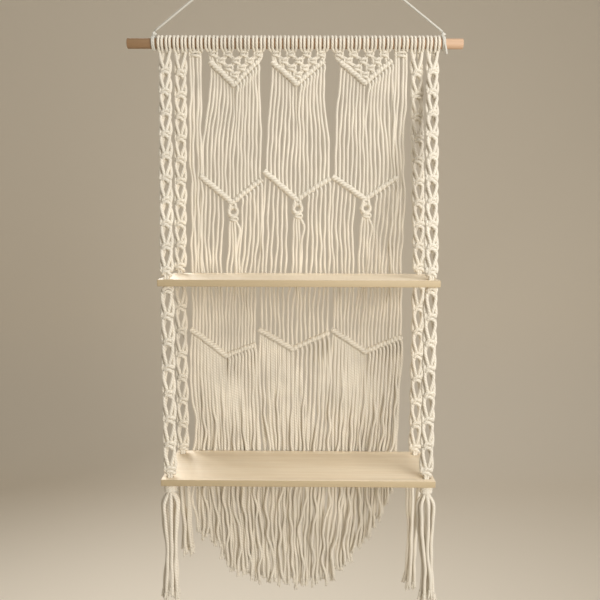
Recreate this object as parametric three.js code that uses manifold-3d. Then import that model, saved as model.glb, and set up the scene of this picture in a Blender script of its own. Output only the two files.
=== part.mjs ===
// Macrame wall shelf: two boards on four knotted cotton chains, hung from a round wooden rod,
// with a knotted cotton hanging behind the boards and a cord that carries the rod.
// Millimetres. +Z is up, +X is to the right seen from the front, and -Y is the front.
// The wall is the plane Y = 0. The origin is on it, behind the peg that the cord hangs on.

import * as THREE from 'three';
import { mergeVertices } from 'three/addons/utils/BufferGeometryUtils.js';
import Module from 'manifold-3d';

// Gap between pieces that touch
const TOUCH = 0.35;

// Cotton strands have three sides here: their width, and how far the outline reaches to each side of its middle
const STRAND = 4.6;
const OUTLINE = { behind: 0.34, side: 0.5, front: 0.5 };

// Round rod
const ROD = { length: 582, radius: 8.8, sides: 16, x: -4, y: -14.5, z: -208 };

// Boards, with a hole near each corner
const BOARD = { width: 450, depth: 150, thick: 11, x: 5.5, backY: -15 };
const HOLE = { radius: 6, sides: 12, insetX: 13, insetY: 15 };
const UPPER_TOP = -607;
const LOWER_TOP = -936;

// Wall peg: a round plate, a stem and a round end
const PEG = { plateRadius: 12, plate: 3, stemRadius: 3.5, endRadius: 6.5, endFrom: 19, length: 23, sides: 16 };
const BEND_STEPS = 4;

// Hanging cord and its ties at the ends of the rod
const HANGER = { thick: 4, sides: 8, step: 11.5, leftX: -247.5, rightX: 251, footZ: 20.4 };
const TIE = { leftX: -248.6, rightX: 253.6, width: 8.2, wraps: 2, outer: 13.2, dip: 1.4, sides: 8 };
const TIE_KNOT = { radius: 4.6, z: 14.2, towardsFoot: 0.4 };
const TIE_TAIL = { sides: 6, inside: 2, startZ: -2, bulge: 1, middleX: 1.5, middleZ: -9, endX: 4, endZ: -20 };

// Lark's heads round the rod: 36 of them from left to right, the first and last four for the chains
const HEADS = { startX: -243.5, pitch: 13.66, valley: 12, crest: 14.2, inner: 9.2, sides: 6, split: 0.25 };
const HEADS_OF = { chain: 2, chainsEachSide: 4, side: 2, bay: 8, all: 36 };

// Knots and bars
const KNOT = { width: 15.5, height: 13.4, depth: 8.4, cut: 1.8, ridges: 3 };
const BAR = { height: 9, depth: 8.6, flat: 6.6, cut: 1.7, wrapDepth: 4, wrapHeight: 7.4, wrapOut: 4.2 };

// Knotted triangles: rows of square knots under the rod, heights measured from the rod
const NET = { rows: 4, firstZ: -17.2, drop: 12, topSpacing: 26.4, rowSpacing: 1.5, proud: 0.4 };
const LINK = { width: 5.4, depth: 5, reach: 3.6 };

// Diagonal bars, three rows of three, as left end, middle and right end, heights from the rod
const BARS = [
  { row: 0, bay: 0, leftX: -151, leftZ: -31, midX: -109, midZ: -71, rightX: -67, rightZ: -31 },
  { row: 0, bay: 1, leftX: -43, leftZ: -31, midX: 1, midZ: -69, rightX: 47, rightZ: -30 },
  { row: 0, bay: 2, leftX: 76, leftZ: -31, midX: 120, midZ: -67, rightX: 165, rightZ: -30 },
  { row: 1, bay: 0, leftX: -170, leftZ: -228, midX: -114, midZ: -275, rightX: -62, rightZ: -234 },
  { row: 1, bay: 1, leftX: -57, leftZ: -219, midX: 1, midZ: -269, rightX: 59, rightZ: -232 },
  { row: 1, bay: 2, leftX: 65, leftZ: -228, midX: 123, midZ: -268, rightX: 178, rightZ: -230 },
  { row: 2, bay: 0, leftX: -191, leftZ: -503, midX: -127, midZ: -552, rightX: -74, rightZ: -531 },
  { row: 2, bay: 1, leftX: -67, leftZ: -503, midX: -6, midZ: -539, rightX: 60, rightZ: -509 },
  { row: 2, bay: 2, leftX: 66, leftZ: -503, midX: 127, midZ: -543, rightX: 192, rightZ: -516 },
];

// How far the hanging stands out from the wall at the three rows of bars and at the fringe
const ROW_Y = [-13.6, -11, -9];
const FRINGE_Y = -9.4;

// Strands: 16 in each bay and 4 at each side
const BAY_STRANDS = 16;
const SIDE_STRANDS = 4;
const STRANDS = 3 * BAY_STRANDS + 2 * SIDE_STRANDS;

// Side knots, from which the four strands at each side hang
const SIDE = { leftX: -177, rightX: 181, z: -17.6, width: 20, ridges: 4, pitch: 4.95, halfZ: -250, halfWay: 0.7 };

// Eyes under the middle row of bars: a ring with a knot below it
const EYE = { drop: 14.5, radius: 7.6, thick: 3.6, pitch: 4.9, from: 6, to: 9 };
const EYE_KNOT = { drop: 28.6, width: 19.5, height: 8, ridges: 4 };

// Fringe: where the ends lie, left to right, heights from the rod
const FRINGE = [
  { x: -190, z: -878 },
  { x: -150, z: -911 },
  { x: -124, z: -956 },
  { x: -66, z: -979 },
  { x: 7, z: -986 },
  { x: 64, z: -977 },
  { x: 101, z: -940 },
  { x: 147, z: -872 },
  { x: 180, z: -802 },
];
const TIPS = { leftX: -188, rightX: 180, uneven: 5.4, steps: 4, sway: 2.6 };
const BETWEEN_BARS = { steps: 2, sway: 2.2 };

// Chains of square knots
const CHAIN = { headRoot: 1.6, inner: 3.2, outer: 7.8, branch: 5.4, root: 1.5, knot: 13.2, tall: 9, deep: 8 };
const CHAIN_KNOTS = { upper: 10, lower: 8 };
const NECK = { height: 10, overlap: 4, radius: 4.9, sides: 8 };

// Tassels under the lower board: how far each reaches down, how wide it spreads and how far it leans to the right
const TASSEL = { headRadius: 8.4, headTall: 14, wraps: 3, dip: 1.6, sides: 8, strand: 4.8, ring: 4.6, rooted: 3 };
const TASSELS = [
  { name: 'front_left', hole: 0, row: 'front', ends: 7, reach: 196, spread: 8.2, lean: -2 },
  { name: 'front_right', hole: 1, row: 'front', ends: 7, reach: 196, spread: 8.2, lean: 6 },
  { name: 'back_left', hole: 0, row: 'back', ends: 5, reach: 176, spread: 6.4, lean: 6 },
  { name: 'back_right', hole: 1, row: 'back', ends: 5, reach: 240, spread: 6.4, lean: -4 },
];
const TASSEL_UNEVEN = { length: 7, side: 1 };

const COTTON = 0xe9d9bb;
const COTTON_DARK = 0xdccaa6;
const PINE = 0xe2cda6;
const ROD_WOOD = 0xbd9868;
const CORD_WHITE = 0xf1ece0;
const PEG_METAL = 0xb9bcc0;

const wasm = await Module();
wasm.setup();

// A curve straight from point to point, with one step for each stretch
class Through extends THREE.Curve {
  constructor(points) {
    super();
    this.points = points;
  }

  getPoint(t, target = new THREE.Vector3()) {
    const place = t * (this.points.length - 1);
    const index = Math.min(Math.floor(place), this.points.length - 2);
    return target.lerpVectors(this.points[index], this.points[index + 1], place - index);
  }

  getUtoTmapping(u) {
    return u;
  }
}

// The same, for what hangs: every section along it stays level
class Hanging extends Through {
  computeFrenetFrames(segments) {
    const tangents = [];
    const normals = [];
    const binormals = [];
    for (let k = 0; k <= segments; k += 1) {
      tangents.push(new THREE.Vector3(0, 0, 1));
      normals.push(new THREE.Vector3(1, 0, 0));
      binormals.push(new THREE.Vector3(0, 1, 0));
    }
    return { tangents, normals, binormals };
  }
}

function point(x, y, z) {
  return new THREE.Vector3(x, y, z);
}

function mix(a, b, t) {
  return a + (b - a) * t;
}

// A three sided outline, one corner to the front
function threeSided(width) {
  const shape = new THREE.Shape();
  shape.moveTo(width * OUTLINE.side, -width * OUTLINE.behind);
  shape.lineTo(0, width * OUTLINE.front);
  shape.lineTo(-width * OUTLINE.side, -width * OUTLINE.behind);
  shape.closePath();
  return shape;
}

// An outline through the corners of a diamond
function diamond(width, depth = width) {
  const shape = new THREE.Shape();
  shape.moveTo(width / 2, 0);
  shape.lineTo(0, depth / 2);
  shape.lineTo(-width / 2, 0);
  shape.lineTo(0, -depth / 2);
  shape.closePath();
  return shape;
}

function regular(radius, sides) {
  const shape = new THREE.Shape();
  for (let k = 0; k < sides; k += 1) {
    const angle = (2 * Math.PI * (k + 0.5)) / sides;
    const x = radius * Math.cos(angle);
    const y = radius * Math.sin(angle);
    if (k === 0) shape.moveTo(x, y);
    else shape.lineTo(x, y);
  }
  shape.closePath();
  return shape;
}

// A strip seen from its end: ridges along the front, flat behind
function ridged(length, depth, ridges, cut) {
  const shape = new THREE.Shape();
  shape.moveTo(0, -depth / 2 + cut);
  for (let k = 0; k < ridges; k += 1) {
    shape.lineTo(((k + 0.5) * length) / ridges, -depth / 2);
    shape.lineTo(((k + 1) * length) / ridges, -depth / 2 + cut);
  }
  shape.lineTo(length, depth / 2);
  shape.lineTo(0, depth / 2);
  shape.closePath();
  return shape;
}

function tube(points, shape) {
  const extrudePath = new Through(points);
  return new THREE.ExtrudeGeometry(shape, { steps: points.length - 1, extrudePath });
}

// A hanging strand through its places, from the top down, with its sections level
function hung(points, shape) {
  const extrudePath = new Hanging([...points].reverse());
  return new THREE.ExtrudeGeometry(shape, { steps: points.length - 1, extrudePath });
}

function prism(shape, depth) {
  return new THREE.ExtrudeGeometry(shape, { depth, bevelEnabled: false });
}

// A turned piece on the X axis, from a closed outline of distances along it and radii
function turned(outline, sides) {
  const profile = outline.map((p) => new THREE.Vector2(p.r, p.at));
  profile.push(profile[0].clone());
  const geometry = new THREE.LatheGeometry(profile, sides);
  geometry.rotateY(Math.PI / sides);
  geometry.rotateZ(-Math.PI / 2);
  return geometry;
}

// Joining and cutting
function solid(geometry) {
  const bare = geometry.clone();
  bare.deleteAttribute('normal');
  bare.deleteAttribute('uv');
  const merged = mergeVertices(bare, 1e-4);
  const corners = [];
  const index = merged.index.array;
  for (let k = 0; k < index.length; k += 3) {
    const [a, b, c] = [index[k], index[k + 1], index[k + 2]];
    if (a !== b && b !== c && c !== a) corners.push(a, b, c);
  }
  const vertProperties = new Float32Array(merged.attributes.position.array);
  const triVerts = new Uint32Array(corners);
  return new wasm.Manifold(new wasm.Mesh({ numProp: 3, vertProperties, triVerts }));
}

function geometryOf(body) {
  const mesh = body.getMesh();
  const geometry = new THREE.BufferGeometry();
  geometry.setAttribute('position', new THREE.BufferAttribute(new Float32Array(mesh.vertProperties), 3));
  geometry.setIndex(new THREE.BufferAttribute(new Uint32Array(mesh.triVerts), 1));
  geometry.computeVertexNormals();
  return geometry;
}

function joined(geometries) {
  let bodies = geometries.map(solid);
  while (bodies.length > 1) {
    const next = [];
    for (let k = 0; k < bodies.length; k += 2) {
      if (k + 1 < bodies.length) next.push(bodies[k].add(bodies[k + 1]));
      else next.push(bodies[k]);
    }
    bodies = next;
  }
  return geometryOf(bodies[0]);
}

const group = new THREE.Group();

function add(name, geometry, color, roughness, metalness = 0) {
  const material = new THREE.MeshStandardMaterial({ color, roughness, metalness });
  const mesh = new THREE.Mesh(geometry, material);
  mesh.name = name;
  group.add(mesh);
  return mesh;
}

// Rod
const rodGeometry = new THREE.CylinderGeometry(ROD.radius, ROD.radius, ROD.length, ROD.sides);
rodGeometry.rotateZ(Math.PI / 2);
add('rod', rodGeometry, ROD_WOOD, 0.6).position.set(ROD.x, ROD.y, ROD.z);

// Boards
const holeX = [BOARD.x - BOARD.width / 2 + HOLE.insetX, BOARD.x + BOARD.width / 2 - HOLE.insetX];
const holeY = { back: BOARD.backY - HOLE.insetY, front: BOARD.backY - BOARD.depth + HOLE.insetY };

function board() {
  const left = BOARD.x - BOARD.width / 2;
  const front = BOARD.backY - BOARD.depth;
  const shape = new THREE.Shape();
  shape.moveTo(left, front);
  shape.lineTo(left + BOARD.width, front);
  shape.lineTo(left + BOARD.width, BOARD.backY);
  shape.lineTo(left, BOARD.backY);
  shape.closePath();
  for (const x of holeX) {
    for (const y of [holeY.back, holeY.front]) {
      const corners = regular(HOLE.radius, HOLE.sides).getPoints();
      shape.holes.push(new THREE.Path(corners.map((p) => new THREE.Vector2(p.x + x, p.y + y))));
    }
  }
  const geometry = prism(shape, BOARD.thick);
  geometry.translate(0, 0, -BOARD.thick);
  return geometry;
}

add('upper_shelf', board(), PINE, 0.55).position.z = UPPER_TOP;
add('lower_shelf', board(), PINE, 0.55).position.z = LOWER_TOP;

// Wall peg
const pegOutline = [
  new THREE.Vector2(0, 0),
  new THREE.Vector2(PEG.plateRadius, 0),
  new THREE.Vector2(PEG.plateRadius, PEG.plate),
  new THREE.Vector2(PEG.stemRadius, PEG.plate),
  new THREE.Vector2(PEG.stemRadius, PEG.endFrom),
  new THREE.Vector2(PEG.endRadius, PEG.endFrom),
  new THREE.Vector2(PEG.endRadius, PEG.length),
  new THREE.Vector2(0, PEG.length),
];
const pegGeometry = new THREE.LatheGeometry(pegOutline, PEG.sides);
pegGeometry.rotateX(Math.PI);
const pegBody = geometryOf(solid(pegGeometry));
add('wall_peg', pegBody, PEG_METAL, 0.35, 1);

// Hanging cord: up from the left tie, over the peg and down to the right tie
function hangerPoints() {
  const bend = PEG.stemRadius + TOUCH + HANGER.thick / 2;
  const foot = { left: HANGER.leftX, right: HANGER.rightX };
  const footZ = ROD.z + HANGER.footZ;
  const half = (x) => {
    const reach = Math.hypot(x, footZ);
    return Math.atan2(-footZ, Math.abs(x)) + Math.asin(bend / reach);
  };
  const points = [];
  const leg = (x, side, up) => {
    const slope = half(x);
    const top = point(side * bend * Math.sin(slope), ROD.y, bend * Math.cos(slope));
    const steps = Math.round(Math.hypot(x - top.x, footZ - top.z) / HANGER.step);
    const stretch = [];
    for (let k = 0; k <= steps; k += 1) stretch.push(point(x, ROD.y, footZ).lerp(top, k / steps));
    return up ? stretch : stretch.reverse();
  };
  points.push(...leg(foot.left, -1, true));
  const from = half(foot.left);
  const to = half(foot.right);
  for (let k = 1; k < BEND_STEPS; k += 1) {
    const angle = mix(-from, to, k / BEND_STEPS);
    points.push(point(bend * Math.sin(angle), ROD.y, bend * Math.cos(angle)));
  }
  points.push(...leg(foot.right, 1, false));
  return points;
}

add('hanging_cord', tube(hangerPoints(), regular(HANGER.thick / 2, HANGER.sides)), CORD_WHITE, 0.85);

// A ridged collar round the rod, used for the ties and the lark's heads
function collar(startX, count, pitch, valley, crest, sides) {
  const inner = HEADS.inner / Math.cos(Math.PI / sides);
  const outline = [{ at: 0, r: valley }];
  for (let k = 0; k < count; k += 1) {
    outline.push({ at: (k + 0.5) * pitch, r: crest });
    outline.push({ at: (k + 1) * pitch, r: valley });
  }
  outline.push({ at: count * pitch, r: inner });
  outline.push({ at: 0, r: inner });
  const geometry = turned(outline, sides);
  geometry.translate(startX, ROD.y, ROD.z);
  return geometry;
}

// Ties: the cord wound twice round the rod, knotted on top, with a loose end at the right
function tie(x, footX, tail) {
  const pitch = TIE.width / TIE.wraps;
  const wraps = collar(x - TIE.width / 2, TIE.wraps, pitch, TIE.outer - TIE.dip, TIE.outer, TIE.sides);
  const lump = new THREE.SphereGeometry(TIE_KNOT.radius, 8, 5);
  lump.rotateX(Math.PI / 2);
  lump.translate(mix(x, footX, TIE_KNOT.towardsFoot), ROD.y, ROD.z + TIE_KNOT.z);
  const parts = [wraps, lump];
  if (tail) {
    const front = ROD.y - TIE.outer;
    const start = point(x, front + TIE_TAIL.inside, ROD.z + TIE_TAIL.startZ);
    const middle = point(x + TIE_TAIL.middleX, front - TIE_TAIL.bulge, ROD.z + TIE_TAIL.middleZ);
    const end = point(x + TIE_TAIL.endX, front, ROD.z + TIE_TAIL.endZ);
    parts.push(tube([start, middle, end], regular(HANGER.thick / 2, TIE_TAIL.sides)));
  }
  return joined(parts);
}

add('hanger_tie_left', tie(TIE.leftX, HANGER.leftX, false), CORD_WHITE, 0.85);
add('hanger_tie_right', tie(TIE.rightX, HANGER.rightX, true), CORD_WHITE, 0.85);

// Lark's heads of one piece of the work, as one ridged collar
function larksHeads(first, count) {
  const startX = HEADS.startX + first * HEADS.pitch + HEADS.split;
  const pitch = (count * HEADS.pitch - 2 * HEADS.split) / count;
  return collar(startX, count, pitch, HEADS.valley, HEADS.crest, HEADS.sides);
}

// A square knot with ridges across its front, its flat ends up and down
function squareKnot(x, y, z, width = KNOT.width, height = KNOT.height, ridges = KNOT.ridges) {
  const geometry = prism(ridged(width, KNOT.depth, ridges, KNOT.cut), height);
  geometry.translate(x - width / 2, y, ROD.z + z - height / 2);
  return geometry;
}

// Diagonal bars
function barFrame(fromX, fromZ, toX, toZ, y) {
  const along = point(toX - fromX, 0, toZ - fromZ).normalize();
  const depth = point(0, 1, 0);
  const up = new THREE.Vector3().crossVectors(along, depth);
  const at = point(fromX, y, ROD.z + fromZ);
  return { along, depth, up, at, length: Math.hypot(toX - fromX, toZ - fromZ) };
}

// Both halves of a bar are one thick cord with flat edges up and down
function smoothBar(fromX, fromZ, toX, toZ, y) {
  const f = barFrame(fromX, fromZ, toX, toZ, y);
  const shape = new THREE.Shape();
  shape.moveTo(BAR.depth / 2, 0);
  shape.lineTo(BAR.flat / 2, BAR.height / 2);
  shape.lineTo(-BAR.flat / 2, BAR.height / 2);
  shape.lineTo(-BAR.depth / 2, 0);
  shape.lineTo(-BAR.flat / 2, -BAR.height / 2);
  shape.lineTo(BAR.flat / 2, -BAR.height / 2);
  shape.closePath();
  const geometry = prism(shape, f.length);
  const turn = new THREE.Matrix4().makeBasis(f.depth, f.up, f.along).setPosition(f.at);
  return geometry.applyMatrix4(turn);
}

// The right half shows a wrap for each strand on its front
function wrapsOn(fromX, fromZ, toX, toZ, y, wraps) {
  const f = barFrame(fromX, fromZ, toX, toZ, y);
  const geometry = prism(ridged(f.length, BAR.wrapDepth, wraps, BAR.cut), BAR.wrapHeight);
  geometry.translate(0, -BAR.wrapOut, -BAR.wrapHeight / 2);
  const turn = new THREE.Matrix4().makeBasis(f.along, f.depth, f.up).setPosition(f.at);
  return geometry.applyMatrix4(turn);
}

function barOf(row, bay) {
  return BARS.find((bar) => bar.row === row && bar.bay === bay);
}

// Height of a bar's middle line at a place across it
function barHeight(bar, x) {
  if (x < bar.midX) return mix(bar.leftZ, bar.midZ, (x - bar.leftX) / (bar.midX - bar.leftX));
  return mix(bar.midZ, bar.rightZ, (x - bar.midX) / (bar.rightX - bar.midX));
}

// Strands a bar holds: the outer bars of the lowest row also take in the strands at the sides
function slots(row, bay) {
  const sides = row === 2 && bay !== 1 ? SIDE_STRANDS : 0;
  return BAY_STRANDS + sides;
}

function slotX(row, bay, place) {
  const bar = barOf(row, bay);
  return mix(bar.leftX, bar.rightX, (place + 0.5) / slots(row, bay));
}

function barPoint(row, bay, place) {
  const bar = barOf(row, bay);
  const x = slotX(row, bay, place);
  return point(x, ROW_Y[row], ROD.z + barHeight(bar, x));
}

// Soft sideways sway of a strand, the same for neighbours
function sway(x, z, size) {
  return size * (0.65 * Math.sin(z / 31 + x / 53) + 0.35 * Math.sin(z / 14 + x / 29));
}

// A stretch of strand between two places, swaying between them
function strand(from, to, steps, size, free = false) {
  const points = [];
  for (let k = 0; k <= steps; k += 1) {
    const t = k / steps;
    const spot = from.clone().lerp(to, t);
    const hold = free ? t : Math.sin(Math.PI * t);
    spot.x += hold * sway(mix(from.x, to.x, 0.5), spot.z, size);
    spot.y += 0.45 * hold * sway(spot.x * 1.7, spot.z + 60, size);
    points.push(spot);
  }
  return hung(points, threeSided(STRAND));
}

function tipHeight(x) {
  const last = FRINGE.length - 1;
  if (x <= FRINGE[0].x) return FRINGE[0].z;
  for (let k = 0; k < last; k += 1) {
    const [a, b] = [FRINGE[k], FRINGE[k + 1]];
    if (x <= b.x) return mix(a.z, b.z, (x - a.x) / (b.x - a.x));
  }
  return FRINGE[last].z;
}

function tipPoint(index) {
  const x = mix(TIPS.leftX, TIPS.rightX, index / (STRANDS - 1));
  const uneven = TIPS.uneven * (Math.sin(index * 2.4) + 0.5 * Math.sin(index * 5.1));
  return point(x, FRINGE_Y, ROD.z + tipHeight(x) + uneven);
}

// Knotted triangle of one bay: 4, 3, 2 and 1 square knots
function net(bay) {
  const parts = [];
  const bar = barOf(0, bay);
  const y = ROW_Y[0] - NET.proud;
  const headsBefore = HEADS_OF.chainsEachSide + HEADS_OF.side + HEADS_OF.bay * (bay + 0.5);
  const headX = HEADS.startX + headsBefore * HEADS.pitch;
  const spot = (row, k) => {
    const count = NET.rows - row;
    const spacing = NET.topSpacing - NET.rowSpacing * row;
    const centre = mix(headX, bar.midX, row / NET.rows);
    return { x: centre + (k - (count - 1) / 2) * spacing, z: NET.firstZ - NET.drop * row };
  };
  const link = (x, z, place) => {
    const footX = (slotX(0, bay, place) + slotX(0, bay, place + 1)) / 2;
    const foot = point(footX, y, ROD.z + barHeight(bar, footX));
    parts.push(hung([point(x, y, ROD.z + z), foot], diamond(LINK.width, LINK.depth)));
  };
  for (let row = 0; row < NET.rows; row += 1) {
    const count = NET.rows - row;
    for (let k = 0; k < count; k += 1) parts.push(squareKnot(spot(row, k).x, y, spot(row, k).z));
    if (row > 0 && row < NET.rows - 1) continue;
    const left = spot(row, 0);
    const right = spot(row, count - 1);
    link(left.x - LINK.reach, left.z, 2 * row);
    link(right.x + LINK.reach, right.z, BAY_STRANDS - 2 - 2 * row);
  }
  return parts;
}

function barsOf(row, bay) {
  const bar = barOf(row, bay);
  const wraps = Math.round(((bar.rightX - bar.midX) / (bar.rightX - bar.leftX)) * slots(row, bay));
  return [
    smoothBar(bar.leftX, bar.leftZ, bar.midX, bar.midZ, ROW_Y[row]),
    smoothBar(bar.midX, bar.midZ, bar.rightX, bar.rightZ, ROW_Y[row]),
    wrapsOn(bar.midX, bar.midZ, bar.rightX, bar.rightZ, ROW_Y[row], wraps),
  ];
}

function eye(bay) {
  const bar = barOf(1, bay);
  const ring = new THREE.TorusGeometry(EYE.radius, EYE.thick, 4, 8);
  ring.rotateX(Math.PI / 2);
  ring.translate(bar.midX, ROW_Y[1], ROD.z + bar.midZ - EYE.drop);
  const knotZ = bar.midZ - EYE_KNOT.drop;
  return [ring, squareKnot(bar.midX, ROW_Y[1], knotZ, EYE_KNOT.width, EYE_KNOT.height, EYE_KNOT.ridges)];
}

// The strands of one bay from its first bar to the fringe
function bayStrands(bay) {
  const parts = [];
  for (let k = 0; k < BAY_STRANDS; k += 1) {
    const index = SIDE_STRANDS + bay * BAY_STRANDS + k;
    const lowPlace = bay === 0 ? k + SIDE_STRANDS : k;
    const first = barPoint(0, bay, k);
    const second = barPoint(1, bay, k);
    const third = barPoint(2, bay, lowPlace);
    parts.push(strand(first, second, 1, 0));
    if (k >= EYE.from && k <= EYE.to) {
      const bar = barOf(1, bay);
      const across = (k - (EYE.from + EYE.to) / 2) * EYE.pitch;
      second.set(bar.midX + across, ROW_Y[1], ROD.z + bar.midZ - EYE_KNOT.drop);
    }
    parts.push(strand(second, third, BETWEEN_BARS.steps, BETWEEN_BARS.sway));
    parts.push(strand(third, tipPoint(index), TIPS.steps, TIPS.sway, true));
  }
  return parts;
}

// The four strands at one side
function sideStrands(x, bay, firstPlace, firstIndex) {
  const parts = [squareKnot(x, ROW_Y[0], SIDE.z, SIDE.width, KNOT.height, SIDE.ridges)];
  for (let k = 0; k < SIDE_STRANDS; k += 1) {
    const across = (k - (SIDE_STRANDS - 1) / 2) * SIDE.pitch;
    const top = point(x + across, ROW_Y[0], ROD.z + SIDE.z);
    const third = barPoint(2, bay, firstPlace + k);
    const half = point(mix(top.x, third.x, SIDE.halfWay), ROW_Y[1], ROD.z + SIDE.halfZ);
    parts.push(hung([top, half, third], threeSided(STRAND)));
    parts.push(strand(third, tipPoint(firstIndex + k), TIPS.steps, TIPS.sway, true));
  }
  return parts;
}

const panelParts = [larksHeads(HEADS_OF.chainsEachSide, HEADS_OF.all - 2 * HEADS_OF.chainsEachSide)];
for (let bay = 0; bay < 3; bay += 1) {
  panelParts.push(...net(bay));
  for (let row = 0; row < 3; row += 1) panelParts.push(...barsOf(row, bay));
  panelParts.push(...eye(bay));
  panelParts.push(...bayStrands(bay));
}
panelParts.push(...sideStrands(SIDE.leftX, 0, 0, 0));
panelParts.push(...sideStrands(SIDE.rightX, 2, BAY_STRANDS, STRANDS - SIDE_STRANDS));
add('macrame_panel', joined(panelParts), COTTON, 0.9);

// A chain: knots in a row, and between each two of them a left and a right branch of two cords
function chain(top, bottom, knots, startsWithKnot) {
  const parts = [];
  const along = top.clone().sub(bottom);
  const length = along.length();
  along.normalize();
  const across = new THREE.Vector3().crossVectors(point(0, 1, 0), along).normalize();
  const depth = new THREE.Vector3().crossVectors(along, across);
  const first = startsWithKnot ? CHAIN.tall / 2 : (length - CHAIN.tall / 2) / knots;
  const pitch = (length - CHAIN.tall / 2 - first) / (knots - 1);
  for (let k = 0; k < knots; k += 1) {
    const z = -(first + k * pitch);
    const knot = new THREE.BoxGeometry(CHAIN.knot, CHAIN.deep, CHAIN.tall);
    knot.translate(0, 0, z);
    parts.push(knot);
    if (k === 0 && startsWithKnot) continue;
    const rooted = CHAIN.tall / 2 - CHAIN.root;
    const above = k === 0 ? CHAIN.headRoot : z + pitch - rooted;
    const below = z + rooted;
    for (const way of [-1, 1]) {
      const from = point(way * (k === 0 ? HEADS.pitch / 2 : CHAIN.inner), 0, above);
      const middle = point(way * CHAIN.outer, 0, (above + below) / 2);
      const to = point(way * CHAIN.inner, 0, below);
      const path = k === 0 ? [from, to] : [from, middle, to];
      parts.push(hung(path, threeSided(CHAIN.branch)));
    }
  }
  const frame = new THREE.Matrix4().makeBasis(across, depth, along).setPosition(top);
  return joined(parts).applyMatrix4(frame);
}

// The four cords drawn together where they pass a board
function neck(x, y, fromZ, toZ) {
  const geometry = prism(regular(NECK.radius, NECK.sides), fromZ - toZ);
  geometry.translate(x, y, toZ);
  return geometry;
}

const chainHeads = [
  { name: 'front_left', first: 0, hole: 0, row: 'front' },
  { name: 'back_left', first: 2, hole: 0, row: 'back' },
  { name: 'back_right', first: 32, hole: 1, row: 'back' },
  { name: 'front_right', first: 34, hole: 1, row: 'front' },
];

for (const one of chainHeads) {
  const x = holeX[one.hole];
  const y = holeY[one.row];
  const rodX = HEADS.startX + (one.first + HEADS_OF.chain / 2) * HEADS.pitch;
  const top = point(rodX, ROD.y, ROD.z - HEADS.valley);
  const bottom = point(x, y, UPPER_TOP + NECK.height);
  const parts = [larksHeads(one.first, HEADS_OF.chain), chain(top, bottom, CHAIN_KNOTS.upper, false)];
  parts.push(neck(x, y, UPPER_TOP + NECK.height + NECK.overlap, UPPER_TOP - BOARD.thick));
  add(`chain_${one.name}_upper`, joined(parts), COTTON, 0.9);
  const lowTop = point(x, y, UPPER_TOP - BOARD.thick - TOUCH);
  const lowBottom = point(x, y, LOWER_TOP + NECK.height);
  const low = [chain(lowTop, lowBottom, CHAIN_KNOTS.lower, true)];
  low.push(neck(x, y, LOWER_TOP + NECK.height + NECK.overlap, LOWER_TOP - BOARD.thick));
  add(`chain_${one.name}_lower`, joined(low), COTTON, 0.9);
}

// Tassels: a wrapped head with the cords' loose ends below it
function tasselHead(x, y, top) {
  const waist = TASSEL.headRadius - TASSEL.dip;
  const pitch = TASSEL.headTall / TASSEL.wraps;
  const outline = [new THREE.Vector2(0, 0), new THREE.Vector2(waist, 0)];
  for (let k = 0; k < TASSEL.wraps; k += 1) {
    outline.push(new THREE.Vector2(TASSEL.headRadius, (k + 0.5) * pitch));
    outline.push(new THREE.Vector2(waist, (k + 1) * pitch));
  }
  outline.push(new THREE.Vector2(0, TASSEL.headTall));
  const head = new THREE.LatheGeometry(outline, TASSEL.sides);
  head.rotateX(Math.PI / 2);
  head.translate(x, y, top - TASSEL.headTall);
  return head;
}

function tassel(one) {
  const x = holeX[one.hole];
  const y = holeY[one.row];
  const top = LOWER_TOP - BOARD.thick - TOUCH;
  const rootZ = top - TASSEL.headTall + TASSEL.rooted;
  const parts = [tasselHead(x, y, top)];
  for (let k = 0; k < one.ends; k += 1) {
    const angle = (2 * Math.PI * (k + 0.5)) / one.ends;
    const [outX, outY] = [Math.cos(angle), Math.sin(angle)];
    const lowX = x + outX * one.spread + one.lean + TASSEL_UNEVEN.side * Math.sin(k * 3.1);
    const lowZ = top - one.reach - TASSEL_UNEVEN.length * Math.sin(k * 2.2);
    const root = point(x + outX * TASSEL.ring, y + outY * TASSEL.ring, rootZ);
    const middle = point(x + outX * one.spread + one.lean / 2, y + outY * one.spread, mix(top, lowZ, 0.5));
    const tip = point(lowX, y + outY * one.spread, lowZ);
    parts.push(hung([root, middle, tip], threeSided(TASSEL.strand)));
  }
  return joined(parts);
}

for (const one of TASSELS) add(`tassel_${one.name}`, tassel(one), COTTON_DARK, 0.9);

export default group;
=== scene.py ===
# Macrame wall shelf: the looks of the cotton cord, the boards, the rod and the peg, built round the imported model.

import math

import bpy
import numpy as np
from bpy.props import FloatProperty, FloatVectorProperty, IntProperty, PointerProperty
from mathutils import Matrix, Vector


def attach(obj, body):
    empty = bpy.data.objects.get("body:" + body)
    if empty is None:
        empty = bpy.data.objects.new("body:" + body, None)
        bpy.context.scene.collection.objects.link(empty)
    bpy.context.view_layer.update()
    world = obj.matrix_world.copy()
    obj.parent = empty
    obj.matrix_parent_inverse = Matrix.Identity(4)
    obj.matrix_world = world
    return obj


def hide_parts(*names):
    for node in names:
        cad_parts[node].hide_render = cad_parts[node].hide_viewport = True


bl_info = {
    "name": "Macrame wall shelf",
    "version": (1, 0, 0),
    "blender": (4, 5, 0),
    "location": "View3D > Sidebar > Macrame",
    "description": "Models a knotted cotton wall shelf with two boards, piece by piece",
    "category": "Object",
}

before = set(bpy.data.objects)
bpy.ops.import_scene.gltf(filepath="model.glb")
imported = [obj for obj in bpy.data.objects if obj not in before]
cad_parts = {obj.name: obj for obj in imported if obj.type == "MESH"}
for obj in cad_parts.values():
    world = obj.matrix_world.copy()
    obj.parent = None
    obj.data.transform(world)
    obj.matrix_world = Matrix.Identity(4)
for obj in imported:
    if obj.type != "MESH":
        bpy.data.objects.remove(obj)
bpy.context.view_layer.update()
ROOT = "root"

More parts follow.
